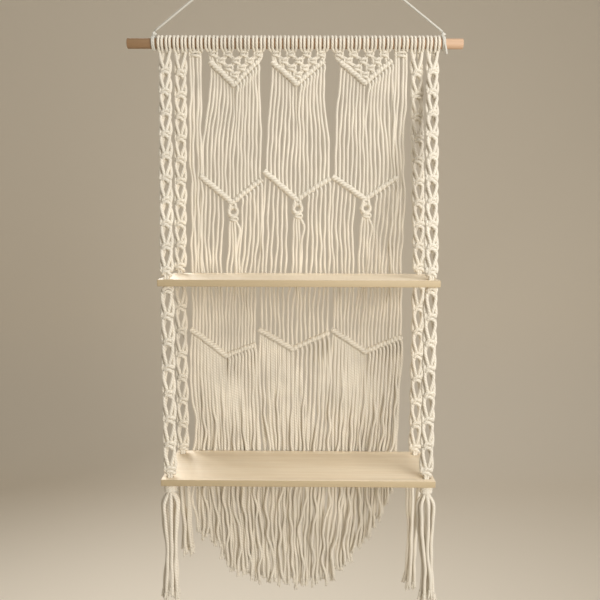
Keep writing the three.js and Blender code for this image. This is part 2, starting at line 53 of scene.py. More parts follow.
# All tables below are in millimetres, in the frame of the part: +Z up, +X right, -Y to the front,
# the wall at Y = 0 and the origin on it behind the peg. Meshes are made in metres.
MM = 0.001

ROD = {"x": -4.0, "y": -14.5, "z": -208.0, "length": 582.0, "radius": 8.8}
BOARD = {"width": 450.0, "depth": 150.0, "thick": 11.0, "x": 5.5, "back": -15.0}
HOLE = {"radius": 6.0, "in_x": 13.0, "in_y": 15.0}
UPPER_TOP = -607.0
LOWER_TOP = -936.0
PEG = {
    "plate_radius": 12.0,
    "plate": 3.0,
    "stem_radius": 3.5,
    "end_radius": 6.5,
    "end_from": 19.0,
    "length": 23.0,
    "edge": 0.6,
}

HANGER = {"thick": 4.0, "left": -247.5, "right": 251.0, "foot": 20.4, "touch": 0.35, "step": 8.0}
TIE = {"left": -248.6, "right": 253.6, "turns": 2, "width": 8.2}

HEADS = {"start": -243.5, "pitch": 13.66, "leg": 3.05, "chain_heads": 4, "side_heads": 2, "bay_heads": 8, "all": 36}
KNOT = {"half": 5.5, "band": 3.0, "front": 3.9, "tilt": 1.1, "shoulder": 1.2}
# The bump at a square knot's side: inwards from its outer edge, upwards and towards the front
KNOT_BUMP = ((1.8, 4.6, 0.4), (0.0, 2.4, 1.8), (-0.5, 0.0, 2.4), (0.0, -2.4, 1.8), (1.8, -4.6, 0.4))
NET = {"rows": 4, "first": -17.2, "drop": 12.0, "top_spacing": 26.4, "row_spacing": 1.5, "proud": 0.4}
STRAND_OFFSETS = (-5.6, -2.1, 2.1, 5.6)

# Diagonal bars: row and bay, then left end, middle and right end, heights from the rod
BAR_COLUMNS = ("row", "bay", "left_x", "left_z", "mid_x", "mid_z", "right_x", "right_z")
BAR_ROWS = (
    (0, 0, -151, -31, -109, -71, -67, -31),
    (0, 1, -43, -31, 1, -69, 47, -30),
    (0, 2, 76, -31, 120, -67, 165, -30),
    (1, 0, -170, -228, -114, -275, -62, -234),
    (1, 1, -57, -219, 1, -269, 59, -232),
    (1, 2, 65, -228, 123, -268, 178, -230),
    (2, 0, -191, -503, -127, -552, -74, -531),
    (2, 1, -67, -503, -6, -539, 60, -509),
    (2, 2, 66, -503, 127, -543, 192, -516),
)
BARS = {(row[0], row[1]): dict(zip(BAR_COLUMNS, row)) for row in BAR_ROWS}
BAR = {
    "smooth": 4.7,
    "ridge": 0.7,
    "ridge_pitch": 6.4,
    "smooth_lift": -0.2,
    "hitched": 3.9,
    "hitch": 1.2,
    "hitched_lift": 1.2,
    "over": 6.1,
    "apart": 0.06,
}
ROW_Y = (-13.6, -11.0, -9.0)
FRINGE_Y = -8.0
FRINGE_LAYERS = {
    "front": {"y": -6.4, "full": 1.04, "sway": 3.4, "short": 0.0},
    "back": {"y": -0.4, "full": 1.16, "sway": 1.6, "short": 0.0},
    "under": {"y": 3.0, "full": 1.06, "sway": 1.0, "short": 7.0},
}

BAY_STRANDS = 16
SIDE_STRANDS = 4
STRANDS = 3 * BAY_STRANDS + 2 * SIDE_STRANDS
SIDE = {
    "left": -177.0,
    "right": 181.0,
    "z": -17.6,
    "places": (-9.6, -5.0, 3.2, 8.0),
    "knot": 8.6,
    "half_way": 0.7,
    "half_z": -250.0,
}
EYE = {"drop": 14.6, "wide": 7.4, "tall": 8.0, "cord": 3.4, "knot": 5.6, "knot_drop": 27.5, "first": 6, "last": 9}
# A cord from a bar's point to its eye: sideways, towards the front and upwards
EYE_LINK = ((4.4, -1.4, 1.0), (4.8, -3.4, -4.5), (6.2, -1.6, -11.0))
# Sideways places of the strands under an eye: at its knot, a little lower, and where they hang straight
UNDER_EYE = ((-5.4, -6.8, -7.4), (-1.6, -1.8, -1.2), (2.4, 3.2, 4.4), (5.6, 11.2, 8.4))

# Ends of the fringe from left to right, heights from the rod
FRINGE_X = (-190, -150, -124, -66, 7, 64, 101, 147, 180)
FRINGE_Z = (-878, -911, -956, -979, -986, -977, -940, -872, -802)
TIPS = {"left": -188.0, "right": 180.0, "uneven": 5.4}

# Corner of the boards, and the first of the chain's two lark's heads
CHAINS = {"front_left": 0, "back_left": 2, "back_right": 32, "front_right": 34}
CHAIN = {
    "tall": 9.0,
    "upper_knots": 10,
    "lower_knots": 8,
    "half": 6.9,
    "droop": 5.0,
    "core": 2.3,
    "outer": 8.3,
    "neck": 10.0,
    "valley": 12.0,
    "cord": 3.0,
    "gap": 0.4,
}
TASSELS = {
    "front_left": {"ends": 7, "reach": 196, "spread": 8.2, "lean": -2},
    "front_right": {"ends": 7, "reach": 196, "spread": 8.2, "lean": 6},
    "back_left": {"ends": 5, "reach": 176, "spread": 6.4, "lean": 6},
    "back_right": {"ends": 5, "reach": 240, "spread": 6.4, "lean": -4},
}
TASSEL = {
    "head_radius": 7.8,
    "head_tall": 16.0,
    "wraps": 3,
    "ring": 4.2,
    "cord": 3.1,
    "end_radius": 3.0,
    "flare": 3.0,
    "brush": 12.0,
}

# Points along a strand and along a cord of a chain stand this far apart
STRAND_STEP = 7.0
CHAIN_STEP = 3.6

# The stage and its lamps are in metres
STAGE = {"floor": -2.2, "width": 40.0, "depth": 11.0, "middle": -2.5, "bend": 1.0, "wall": 4.0}
FLOOR_TONE = (0.93, 0.86, 0.75)
# Lamps: name, place, what it points at, size, power and colour
LAMPS = (
    ("key", (1.05, -2.0, -0.36), (0.0, 0.0, -0.5), 1.0, 34.0, (1.0, 0.985, 0.955)),
    ("side", (1.15, -1.05, 0.1), (0.0, 0.0, -0.5), 0.6, 6.0, (1.0, 1.0, 1.0)),
    ("overhead", (0.5, -0.6, 1.5), (0.0, -0.05, -0.6), 1.2, 14.0, (1.0, 0.985, 0.96)),
    ("rear", (-1.1, 1.7, 0.5), (0.0, 0.0, -0.6), 1.2, 40.0, (1.0, 0.985, 0.96)),
)
ALL_ROUND = {"colour": (0.8, 0.73, 0.62), "strength": 0.34}
CAMERA = {"place": (16.71, -1257.98, -516.52), "pitch": 6.372, "yaw": -0.469, "roll": 0.195, "lens": 41.556}


# Sizes and colours that a user would change


def size_setting(name, description, default):
    return FloatProperty(name=name, description=description, default=default, unit="LENGTH")


def colour_setting(name, description, default):
    return FloatVectorProperty(name=name, description=description, subtype="COLOR", default=default)


class MacrameSizes(bpy.types.PropertyGroup):
    """Sizes of the cord and of how it hangs"""

    cord: size_setting("Cord", "Thickness of the cotton cord", 0.0049)
    twist: size_setting("Twist", "Length of one full turn of the plies", 0.015)
    sway: size_setting("Sway", "How far a strand wanders sideways", 0.0013)
    sides: IntProperty(name="Sides", description="Sides of a cord's section", default=8, min=5, max=16)
    bevel: size_setting("Edge", "Rounding of the boards' edges", 0.0012)


class MacrameColours(bpy.types.PropertyGroup):
    """Colours of the shelf"""

    cotton: colour_setting("Cotton", "Cotton cord", (0.79, 0.737, 0.634))
    # Painted shade: the darker colour that the cotton takes in the valleys between its plies
    cotton_painted_shade: colour_setting("Cotton shade", "Cotton between the plies", (0.585, 0.5, 0.38))
    pale_cord: colour_setting("Hanging cord", "Hanging cord", (0.7, 0.68, 0.61))
    # Painted shade: the darker colour that the hanging cord takes in the valleys between its plies
    pale_painted_shade: colour_setting("Hanging cord shade", "Hanging cord between the plies", (0.42, 0.39, 0.33))
    pine: colour_setting("Boards", "Pale wood of the boards", (0.9, 0.78, 0.6))
    rod_left: colour_setting("Rod, left", "Rod at its left end", (0.3, 0.18, 0.09))
    rod_right: colour_setting("Rod, right", "Rod at its right end", (0.6, 0.4, 0.26))


def sizes():
    return bpy.context.scene.macrame_sizes


def colours():
    return bpy.context.scene.macrame_colours


# Places on the piece of work


def hole_place(corner):
    row, side = corner.split("_")
    x = BOARD["x"] + (-1 if side == "left" else 1) * (BOARD["width"] / 2 - HOLE["in_x"])
    return x, BOARD["back"] - (HOLE["in_y"] if row == "back" else BOARD["depth"] - HOLE["in_y"])


def mix(a, b, t):
    return a + (b - a) * t


def head_x(index):
    return HEADS["start"] + index * HEADS["pitch"]


def bar_height(bar, x):
    """Height of a bar's middle line from the rod, at a place across it"""
    if x < bar["mid_x"]:
        return mix(bar["left_z"], bar["mid_z"], (x - bar["left_x"]) / (bar["mid_x"] - bar["left_x"]))
    return mix(bar["mid_z"], bar["right_z"], (x - bar["mid_x"]) / (bar["right_x"] - bar["mid_x"]))


def bar_end(row, bay, key):
    """The left end, the middle or the right end of a bar's middle line"""
    bar = BARS[row, bay]
    return bar[f"{key}_x"], ROW_Y[row], ROD["z"] + bar[f"{key}_z"]


def slots(row, bay):
    """Strands that a bar holds: the outer lowest bars take in the strands at the sides too"""
    return BAY_STRANDS + (SIDE_STRANDS if row == 2 and bay != 1 else 0)


def bar_place(row, bay, place):
    bar = BARS[row, bay]
    x = mix(bar["left_x"], bar["right_x"], (place + 0.5) / slots(row, bay))
    return x, ROW_Y[row], ROD["z"] + bar_height(bar, x)


def on_right_half(row, bay, place):
    return bar_place(row, bay, place)[0] > BARS[row, bay]["mid_x"]


def tip_place(index):
    x = mix(TIPS["left"], TIPS["right"], index / (STRANDS - 1))
    uneven = TIPS["uneven"] * (math.sin(index * 2.4) + 0.5 * math.sin(index * 5.1))
    return x, FRINGE_Y + 1.2 * math.sin(index * 2.2), ROD["z"] + float(np.interp(x, FRINGE_X, FRINGE_Z)) + uneven


def net_knot(bay, row, k):
    """Place of a square knot in the knotted triangle of a bay"""
    count = NET["rows"] - row
    heads_before = HEADS["chain_heads"] + HEADS["side_heads"] + HEADS["bay_heads"] * (bay + 0.5)
    centre = mix(head_x(heads_before), BARS[0, bay]["mid_x"], row / NET["rows"])
    spacing = NET["top_spacing"] - NET["row_spacing"] * row
    x = centre + (k - (count - 1) / 2) * spacing
    return x, ROW_Y[0] - NET["proud"], ROD["z"] + NET["first"] - NET["drop"] * row


# Cord


def run_along(line):
    """How far along the line each of its points is"""
    return np.concatenate(([0], np.cumsum(np.linalg.norm(np.diff(line, axis=0), axis=1))))


def course(start, end):
    """Direction and length of the straight way between two places"""
    way = np.array(end, float) - np.array(start, float)
    length = float(np.linalg.norm(way))
    return way / length, length


def eased(points, step):
    """A smooth line through the places, with a point every step"""
    p = np.array(points, float)
    run = run_along(p)
    slope = np.diff(p, axis=0) / np.diff(run)[:, None]
    m = np.empty_like(p)
    m[0], m[-1] = slope[0], slope[-1]
    before, after = np.diff(run)[:-1, None], np.diff(run)[1:, None]
    m[1:-1] = (slope[1:] * before + slope[:-1] * after) / (before + after)
    s = np.linspace(0, run[-1], max(2, int(round(run[-1] / step)) + 1))
    k = np.clip(np.searchsorted(run, s, side="right") - 1, 0, len(p) - 2)
    h = (run[k + 1] - run[k])[:, None]
    t = (s - run[k])[:, None] / h
    t2, t3 = t * t, t * t * t
    return (
        (2 * t3 - 3 * t2 + 1) * p[k]
        + (t3 - 2 * t2 + t) * h * m[k]
        + (3 * t2 - 2 * t3) * p[k + 1]
        + (t3 - t2) * h * m[k + 1]
    )


class Cordage:
    """Lengths of cord that are made into one mesh, each with its own UVs: across the section, and along in metres"""

    def __init__(self, sides=None):
        self.sides = sides or sizes().sides
        self.points, self.faces, self.uvs, self.count, self.laid = [], [], [], 0, 0

    def lay(self, line, radius):
        line = np.asarray(line, float)
        n, sides = len(line), self.sides
        radius = np.full(n, radius, float) if np.isscalar(radius) else np.asarray(radius, float)
        along = np.gradient(line, axis=0)
        along /= np.linalg.norm(along, axis=1)[:, None]
        start = np.array((1.0, 0.0, 0.0)) if abs(along[0][0]) < 0.8 else np.array((0.0, 0.0, 1.0))
        across = np.empty_like(line)
        for k in range(n):
            start = start - along[k] * (start @ along[k])
            start /= np.linalg.norm(start)
            across[k] = start
        other = np.cross(along, across)
        turn = 2 * np.pi * np.arange(sides) / sides
        ring = across[:, None] * np.cos(turn)[None, :, None] + other[:, None] * np.sin(turn)[None, :, None]
        self.points.append((line[:, None] + ring * radius[:, None, None]).reshape(-1, 3))
        run = run_along(line) * MM + 0.37 * self.laid
        base = self.count
        for k in range(n - 1):
            a, b = base + k * sides, base + (k + 1) * sides
            for j in range(sides):
                nxt = (j + 1) % sides
                self.faces.append((a + j, a + nxt, b + nxt, b + j))
                u, w = j / sides, (j + 1) / sides
                self.uvs += (u, run[k], w, run[k], w, run[k + 1], u, run[k + 1])
        self.faces.append(tuple(base + j for j in reversed(range(sides))))
        self.uvs += (0.0, run[0]) * sides
        self.faces.append(tuple(base + (n - 1) * sides + j for j in range(sides)))
        self.uvs += (0.0, run[-1]) * sides
        self.count += n * sides
        self.laid += 1

    def made(self, name, node, look="cotton_cord", slot="cotton"):
        mesh = bpy.data.meshes.new(name)
        mesh.from_pydata(np.concatenate(self.points) * MM, [], self.faces)
        mesh.uv_layers.new(name="cord").data.foreach_set("uv", np.array(self.uvs, np.float32))
        mesh.polygons.foreach_set("use_smooth", np.ones(len(mesh.polygons), bool))
        piece = bpy.data.objects.new(name, mesh)
        bpy.context.scene.collection.objects.link(piece)
        return settled(piece, node, look)


def settled(piece, node, look):
    """The piece gets its finish, rides on the body and stands for its node"""
    piece.data.materials.clear()
    piece.data.materials.append(finish(look))
    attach(piece, ROOT)
    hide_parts(node)
    return piece


def cord_radius():
    return sizes().cord / MM / 2


def ring_line(centre, x_axis, y_axis, rx, ry, start, end, steps, rise=(0, 0, 0), climb=0.0):
    """Part of an ellipse round a centre, climbing along rise"""
    centre, x_axis, y_axis, rise = (np.array(v, float) for v in (centre, x_axis, y_axis, rise))
    angles = np.radians(np.linspace(start, end, steps))
    return (
        centre
        + x_axis * (rx * np.cos(angles))[:, None]
        + y_axis * (ry * np.sin(angles))[:, None]
        + rise * (climb * np.cos(angles))[:, None]
    )


def turned(turns):
    """Angles along a cord that is wound round and round"""
    return np.linspace(0, 2 * np.pi * turns, 14 * turns)


def round_the_rod(x, reach, angles, up=1):
    """Places round the rod, from its top, or with up as -1 from its bottom"""
    y, z = ROD["y"] - reach * np.sin(angles), ROD["z"] + up * reach * np.cos(angles)
    return np.stack((np.broadcast_to(x, y.shape), y, z), axis=1)


def square_knot(cords, at, axes=None, half=None, loop_side=-1, tall=1.0, radius=None, droop=0.0):
    """The two wraps of a square knot round its cores, with the bump between them at one side"""
    at = np.array(at, float)
    across, depth, along = axes or np.identity(3)
    half = half or KNOT["half"]
    radius = radius or cord_radius()
    for way in (1, -1):
        centre = at + along * way * KNOT["band"] * tall
        line = ring_line(centre, across, depth, half, KNOT["front"], 60, 420, 13, along, way * KNOT["tilt"])
        line -= along * (droop * ((line - centre) @ across / half) ** 2)[:, None]
        cords.lay(line, radius)
    side = loop_side * (half + KNOT["shoulder"])
    bump = [
        at + across * (side - loop_side * inwards) + along * up * tall - depth * front
        for inwards, up, front in KNOT_BUMP
    ]
    cords.lay(eased(bump, 2.0), radius * 0.94)


def wander(line, index, size, ramp):
    """Sways a strand to and fro, with its own beat; ramp gives how freely it hangs at each share of its length"""
    z = line[:, 2]
    free = size * ramp(np.linspace(0, 1, len(line)))
    beat = 16 + 4 * math.sin(index * 1.7)
    own = 0.8 * np.sin(z / beat + index * 2.1)
    own = own + 0.35 * np.sin(z / 7.4 + index * 1.3) + 0.7 * np.sin(z / 39 + index * 0.9)
    common = 0.8 * np.sin(z / 33 + line[:, 0] / 57)
    line = line.copy()
    line[:, 0] += free * (0.7 * own + common)
    line[:, 1] += 0.6 * free * np.sin(z / 27 + index * 3.3)
    return line


def held(share):
    return np.sin(np.pi * share) ** 0.6


def loose(share):
    return np.minimum(1.0, share * 1.6)


def hang(cords, line, index, radius):
    """A strand whose twist is a little tighter in some places than in others"""
    z = line[:, 2]
    uneven = 1 + 0.05 * np.sin(z / 11 + index * 1.9) + 0.04 * np.sin(z / 5.3 + index)
    cords.lay(line, radius * uneven)


def frayed_end(cords, line, index, radius, length):
    """The plies of a cut end, splayed like a small brush"""
    tip = line[-1]
    down = line[-1] - line[-3]
    down /= np.linalg.norm(down)
    for k in range(4):
        angle = 1.57 * k + index
        out = np.array((math.cos(angle), 0.6 * math.sin(angle), 0.0)) * radius
        drop = length * (1 + 0.3 * math.sin(index * 1.3 + k * 2))
        ply = eased([tip - down * 3 + out * 0.3, tip + down * drop * 0.45 + out * 0.62, tip + down * drop + out], 3.0)
        cords.lay(ply, np.linspace(radius * 0.66, radius * 0.3, len(ply)))


# Finishes


class Finish:
    """A new material, with short ways to add nodes to it"""

    def __init__(self, name, roughness, specular=None, **more):
        self.material = bpy.data.materials.new(name)
        self.material.use_nodes = True
        self.nodes, self.links = self.material.node_tree.nodes, self.material.node_tree.links
        self.shader = self.nodes["Principled BSDF"].inputs
        self.shader["Roughness"].default_value = roughness
        if specular is not None:
            self.shader["Specular IOR Level"].default_value = specular
        for key, value in more.items():
            self.shader[key.replace("_", " ")].default_value = value

    def feed(self, socket, value):
        """Links a socket to another, or sets its value"""
        if isinstance(value, bpy.types.NodeSocket):
            self.links.new(value, socket)
        elif socket.type == "RGBA":
            socket.default_value = (*tuple(value)[:3], 1)
        else:
            socket.default_value = value

    def node(self, kind, *values, **named):
        node = self.nodes.new(f"ShaderNode{kind}")
        for socket, value in (*zip(node.inputs, values), *((node.inputs[key], named[key]) for key in named)):
            self.feed(socket, value)
        return node

    def math(self, kind, *values):
        node = self.node("Math", *values)
        node.operation = kind
        return node.outputs[0]

    def place(self, stretch=None):
        """Places on the piece, stretched where a pattern is finer one way than another"""
        place = self.node("TexCoord").outputs["Object"]
        return self.node("Mapping", Vector=place, Scale=stretch).outputs["Vector"] if stretch else place

    def split(self, vector):
        return self.node("SeparateXYZ", vector).outputs

    def noise(self, vector, scale, detail, roughness=0.5):
        return self.node("TexNoise", Vector=vector, Scale=scale, Detail=detail, Roughness=roughness).outputs["Fac"]

    def mixed(self, factor, first, second, way="MIX"):
        node = self.nodes.new("ShaderNodeMix")
        node.data_type = "RGBA"
        node.blend_type = way
        for number, value in ((0, factor), (6, first), (7, second)):
            self.feed(node.inputs[number], value)
        return node.outputs[2]

    def shaded(self, tone, pattern, swing, least):
        """The colour, darker where the pattern is low"""
        return self.mixed(1.0, tone, self.math("MULTIPLY_ADD", pattern, swing, least), "MULTIPLY")

    def done(self, tone, height, depth, strength):
        """The colour and the relief go to the shader"""
        self.links.new(tone, self.shader["Base Color"])
        relief = self.node("Bump", Height=height, Distance=depth, Strength=strength)
        self.links.new(relief.outputs["Normal"], self.shader["Normal"])
        return self.material


def cotton_finish(name, tone, shade, twist, plies=3, depth=0.0004):
    """Twisted cotton: plies that run round the cord with painted shade in the valleys between them, fine fibres along
    them, uneven colour
    """
    made = Finish(name, 0.92, 0.18, Sheen_Weight=0.22, Sheen_Roughness=0.6)
    uv = made.node("UVMap")
    uv.uv_map = "cord"
    across, along = made.split(uv.outputs["UV"])[:2]
    whole = made.math("ADD", across, made.math("DIVIDE", along, twist))
    ply = made.math("ABSOLUTE", made.math("SINE", made.math("MULTIPLY", whole, math.pi * plies)))
    rounded = made.math("POWER", ply, 0.4)
    fibre_place = made.node("CombineXYZ", made.math("MULTIPLY", whole, 34.0), made.math("MULTIPLY", along, 90.0))
    fibres = made.noise(fibre_place.outputs["Vector"], 1.0, 4.0, 0.6)
    patches = made.noise(made.place(), 22.0, 2.0)
    # Painted shade: towards the valleys between the plies the cotton goes to its darker shade colour
    base = made.shaded(made.mixed(rounded, shade, tone), patches, 0.36, 0.82)
    height = made.math("MULTIPLY_ADD", fibres, 0.25, rounded)
    return made.done(made.shaded(base, fibres, 0.3, 0.86), height, depth, 0.9)


def pine_finish(name, tone):
    """Pale planed softwood, its grain along X, its front faces darker and browner with painted shade"""
    made = Finish(name, 0.52, 0.35)
    bands = made.noise(made.place((1.6, 38.0, 55.0)), 1.0, 3.0, 0.55)
    soft = made.math("MULTIPLY_ADD", made.math("SINE", made.math("MULTIPLY", bands, 34.0)), 0.5, 0.5)
    pores = made.noise(made.place((30.0, 1100.0, 1100.0)), 1.0, 3.0, 0.6)
    # Painted shade: the front face and its rounded edge take a darker, browner tone than the top
    dark, edge = (tuple(c * f for c, f in zip(tone, part)) for part in ((0.86, 0.79, 0.7), (0.57, 0.52, 0.42)))
    front = (BOARD["back"] - BOARD["depth"] + 0.7) * MM
    painted_shade_front = made.math("LESS_THAN", made.split(made.place())["Y"], front)
    face = made.mixed(made.math("MULTIPLY", soft, 0.3), tone, dark)
    height = made.math("MULTIPLY_ADD", soft, 0.3, pores)
    return made.done(made.shaded(made.mixed(painted_shade_front, face, edge), pores, 0.22, 0.89), height, 0.0002, 0.35)


def rod_finish(name, left, right):
    """Sanded round wood, browner at its left end"""
    made = Finish(name, 0.6)
    share = made.nodes.new("ShaderNodeMapRange")
    made.feed(share.inputs["Value"], made.split(made.place())["X"])
    for end, side in (("From Min", -1), ("From Max", 1)):
        made.feed(share.inputs[end], (ROD["x"] + side * ROD["length"] / 2) * MM)
    grain = made.noise(made.place((5.0, 190.0, 190.0)), 1.0, 4.0, 0.6)
    tone = made.mixed(share.outputs["Result"], left, right)
    return made.done(made.shaded(tone, grain, 0.5, 0.75), grain, 0.0003, 0.3)


def steel_finish(name):
    """Satin steel with fine turning marks"""
    made = Finish(name, 0.36, Metallic=1.0)
    marks = made.noise(made.place((120.0, 3000.0, 120.0)), 1.0, 2.0)
    return made.done(made.mixed(marks, (0.5, 0.51, 0.53), (0.66, 0.67, 0.68)), marks, 0.0001, 0.2)


def finish(name):
    """One of the shelf's finishes, made when it is first asked for"""
    if name in bpy.data.materials:
        return bpy.data.materials[name]
    c, twist = colours(), sizes().twist
    makers = {
        "cotton_cord": lambda: cotton_finish(name, c.cotton, c.cotton_painted_shade, twist),
        "cotton_bundle": lambda: cotton_finish(name, c.cotton, c.cotton_painted_shade, twist * 1.7, 4, 0.0007),
        "thin_pale_cord": lambda: cotton_finish(name, c.pale_cord, c.pale_painted_shade, twist * 0.6, 4),
        "pine": lambda: pine_finish(name, c.pine),
        "sanded_round_wood": lambda: rod_finish(name, c.rod_left, c.rod_right),
        "satin_steel": lambda: steel_finish(name),
    }
    return makers[name]()


# Operators: the camera and the hanging cord come first


class MACRAME_OT_camera(bpy.types.Operator):
    """Place the camera at the photograph's point of view"""

    bl_idname = "macrame.camera"
    bl_label = "Camera"

    def execute(self, context):
        data = bpy.data.cameras.new("camera")
        data.sensor_width = 36.0
        data.lens = CAMERA["lens"]
        data.clip_start, data.clip_end = 0.05, 60.0
        camera = bpy.data.objects.new("camera", data)
        context.scene.collection.objects.link(camera)
        pitch, yaw, roll = (math.radians(CAMERA[key]) for key in ("pitch", "yaw", "roll"))
        ahead = Vector((math.sin(yaw) * math.cos(pitch), math.cos(yaw) * math.cos(pitch), -math.sin(pitch)))
        level = Vector((math.cos(yaw), -math.sin(yaw), 0.0))
        above = level.cross(ahead)
        right = level * math.cos(roll) + above * math.sin(roll)
        up = above * math.cos(roll) - level * math.sin(roll)
        turn = Matrix((right, up, -ahead)).transposed().to_4x4()
        turn.translation = Vector(CAMERA["place"]) * MM
        camera.matrix_world = turn
        context.scene.camera = camera
        return {"FINISHED"}


def hanger_line():
    """From the left tie up over the peg's stem and down to the right tie"""
    bend = PEG["stem_radius"] + HANGER["touch"] + HANGER["thick"] / 2
    foot_z = ROD["z"] + HANGER["foot"]

    def slope(x):
        return math.atan2(-foot_z, abs(x)) + math.asin(bend / math.hypot(x, foot_z))

    def leg(x, side):
        a = slope(x)
        top = np.array((side * bend * math.sin(a), ROD["y"], bend * math.cos(a)))
        foot = np.array((x, ROD["y"], foot_z))
        count = int(round(np.linalg.norm(top - foot) / HANGER["step"]))
        return [foot + (top - foot) * k / count for k in range(count + 1)]

    left, right = leg(HANGER["left"], -1), leg(HANGER["right"], 1)
    turn = np.linspace(-slope(HANGER["left"]), slope(HANGER["right"]), 9)[1:-1]
    over = [np.array((bend * math.sin(a), ROD["y"], bend * math.cos(a))) for a in turn]
    return np.array(left + over + right[::-1])


class MACRAME_OT_hanging_cord(bpy.types.Operator):
    """Run the hanging cord from tie to tie over the peg"""

    bl_idname = "macrame.hanging_cord"
    bl_label = "Hanging cord"

    def execute(self, context):
        cords = Cordage(10)
        line = hanger_line()
        cords.lay(line, HANGER["thick"] / 2)
        piece = cords.made("hanger", "hanging_cord", "thin_pale_cord", "hanging_cord")
        return {"FINISHED"}


class MACRAME_OT_ties(bpy.types.Operator):
    """Tie the ends of the hanging cord round the rod"""

    bl_idname = "macrame.ties"
    bl_label = "Ties"

    def execute(self, context):
        radius = HANGER["thick"] / 2
        reach = ROD["radius"] + radius + 0.2
        angles = turned(TIE["turns"])
        pitch = (TIE["width"] - 2 * radius) / TIE["turns"]
        for name in ("left", "right"):
            x, foot_x = TIE[name], HANGER[name]
            cords = Cordage(10)
            start = x - TIE["width"] / 2 + radius
            cords.lay(round_the_rod(start + pitch * angles / (2 * np.pi), reach, angles), radius)
            knot = np.array((mix(x, foot_x, 0.4), ROD["y"], ROD["z"] + 14.2))
            turn = ring_line(knot, (1, 0, 0), (0, 1, 0), 2.9, 2.9, 0, 380, 14, (0, 0, 1), 1.6)
            cords.lay(turn, radius * 0.95)
            over = ring_line(knot + (0, 0, 1.0), (0.4, 0.9, 0), (0, 0, 1), 2.6, 3.0, -60, 300, 14)
            cords.lay(over, radius * 0.9)
            stem = [knot - (0, 0, 4), knot, knot + (0, 0, 3), np.array((foot_x, ROD["y"], ROD["z"] + 19.8))]
            cords.lay(eased(stem, 3.0), radius)
            if name == "right":
                front = ROD["y"] - reach
                tail = [(x, front + 1, ROD["z"]), (x + 1.5, front - 1.5, ROD["z"] - 9), (x + 4, front, ROD["z"] - 20)]
                cords.lay(eased(tail, 3.0), radius)
            cords.made(f"{name}_tie", f"hanger_tie_{name}", "thin_pale_cord", "hanging_cord")
        return {"FINISHED"}


def to_mode(name):
    bpy.ops.object.mode_set(mode=name)


def pick(piece, test):
    """Goes to edit mode with the faces selected whose normal passes the test"""
    to_mode("EDIT")
    to_mode("OBJECT")
    for part in (piece.data.vertices, piece.data.edges, piece.data.polygons):
        part.foreach_set("select", np.zeros(len(part), bool))
    for face in piece.data.polygons:
        face.select = bool(test(face.normal))
    to_mode("EDIT")


def clear_selection():
    bpy.ops.object.select_all(action="DESELECT")


def take(piece):
    """The piece becomes the only one selected, and the active one"""
    clear_selection()
    piece.select_set(True)
    bpy.context.view_layer.objects.active = piece


def disc(name, sides, radius, depth, middle, turn=(0, 0, 0)):
    """A round piece with its sizes in millimetres"""
    clear_selection()
    at = tuple(value * MM for value in middle)
    bpy.ops.mesh.primitive_cylinder_add(
        vertices=sides, radius=radius * MM, depth=depth * MM, location=at, rotation=turn
    )
    piece = placed(bpy.context.object)
    piece.name = name
    return piece


def soften(piece, width, angle):
    """Rounds the piece's edges that are sharper than the angle"""
    edge = piece.modifiers.new("edge", "BEVEL")
    edge.width, edge.segments = width, 3
    edge.limit_method, edge.angle_limit = "ANGLE", math.radians(angle)
    bpy.context.view_layer.objects.active = piece
    bpy.ops.object.modifier_apply(modifier="edge")
    bpy.ops.object.shade_smooth_by_angle(angle=math.radians(35))


def placed(piece):
    """Puts the piece's place, turn and size into its mesh"""
    take(piece)
    bpy.ops.object.transform_apply(location=True, rotation=True, scale=True)
    return piece


class MACRAME_OT_rod(bpy.types.Operator):
    """Turn the round wooden rod, with softened ends"""

    bl_idname = "macrame.rod"
    bl_label = "Rod"

    def execute(self, context):
        middle = (ROD["x"], ROD["y"], ROD["z"])
        piece = disc("round_rod", 48, ROD["radius"], ROD["length"], middle, (0, math.pi / 2, 0))
        pick(piece, lambda normal: abs(normal.x) > 0.9)
        bpy.ops.mesh.bevel(offset=0.0011, segments=3, affect="EDGES")
        to_mode("OBJECT")
        bpy.ops.object.shade_smooth_by_angle(angle=math.radians(40))
        settled(piece, "rod", "sanded_round_wood")
        return {"FINISHED"}


class MACRAME_OT_boards(bpy.types.Operator):
    """Cut the two boards, bore their corner holes and soften their edges"""

    bl_idname = "macrame.boards"
    bl_label = "Boards"

    def execute(self, context):
        for name, top in (("upper", UPPER_TOP), ("lower", LOWER_TOP)):
            clear_selection()
            centre = (BOARD["x"], BOARD["back"] - BOARD["depth"] / 2, top - BOARD["thick"] / 2)
            bpy.ops.mesh.primitive_cube_add(size=1, location=Vector(centre) * MM)
            piece = context.object
            piece.name = f"{name}_board"
            piece.scale = (BOARD["width"] * MM, BOARD["depth"] * MM, BOARD["thick"] * MM)
            placed(piece)
            for corner in ("back_left", "front_left", "back_right", "front_right"):
                self.bore(piece, *hole_place(corner), top)
            soften(piece, sizes().bevel, 50)
            settled(piece, f"{name}_shelf", "pine")
        return {"FINISHED"}

    def bore(self, piece, x, y, top):
        drill = disc("drill", 28, HOLE["radius"], 2 * BOARD["thick"], (x, y, top - BOARD["thick"] / 2))
        cut = piece.modifiers.new("bore", "BOOLEAN")
        cut.operation, cut.solver, cut.object = "DIFFERENCE", "EXACT", drill
        take(piece)
        bpy.ops.object.modifier_apply(modifier="bore")
        bpy.data.objects.remove(drill)


